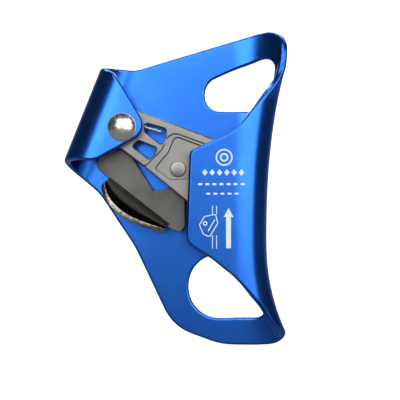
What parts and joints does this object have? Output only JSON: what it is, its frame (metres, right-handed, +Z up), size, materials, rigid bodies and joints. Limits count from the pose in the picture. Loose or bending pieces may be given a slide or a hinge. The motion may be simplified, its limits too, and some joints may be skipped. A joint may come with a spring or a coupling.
{
  "type": "chest ascender",
  "caption": "Chest ascender for rope: a bent plate frame with rope channel and two eyes, a sprung toothed cam on a domed rivet, and a thumb catch on the cam.",
  "frame": {"origin": "on the flat rear face of the back plate, between the two eyes", "axes": "+Z up along the rope, +X to the right seen from the marked side, -Y towards the marked side"},
  "size_m": [0.0943, 0.0284, 0.1333],
  "materials": {
    "blue_anodised": "blue anodised, satin",
    "polished_steel": "polished",
    "plain_steel": "machined",
    "cast_steel": "cast, satin grey",
    "dark_steel": "dark blasted",
    "bronze": "plain",
    "spring_steel": "drawn wire"
  },
  "bodies": {
    "frame": {"frame": "blue_anodised", "main_rivet": "polished_steel", "rivet_washer": "plain_steel", "cam_bush": "bronze", "front_thrust_washer": "plain_steel", "rear_thrust_washer": "plain_steel", "cam_spring": "spring_steel"},
    "cam": {"cam": "cast_steel", "catch_rivet": "plain_steel", "catch_washer": "plain_steel", "stop_pin": "plain_steel", "catch_spring": "spring_steel"},
    "catch": {"catch": "dark_steel"}
  },
  "joints": [
    {"name": "cam_pivot", "type": "hinge", "parent": "frame", "child": "cam", "pos_m": [-0.0229, -0.0104, 0.0249], "axis": [0, 1, 0], "range_deg": [0, 30], "stiffness_Nm_per_rad": 0.12, "springref_deg": -34.38, "deforming": ["cam_spring"]},
    {"name": "catch_pivot", "type": "hinge", "parent": "cam", "child": "catch", "pos_m": [0.0001, -0.0104, 0.0079], "axis": [0, -1, 0], "range_deg": [0, 10], "stiffness_Nm_per_rad": 0.03, "springref_deg": -28.65, "deforming": ["catch_spring"]}
  ]
}
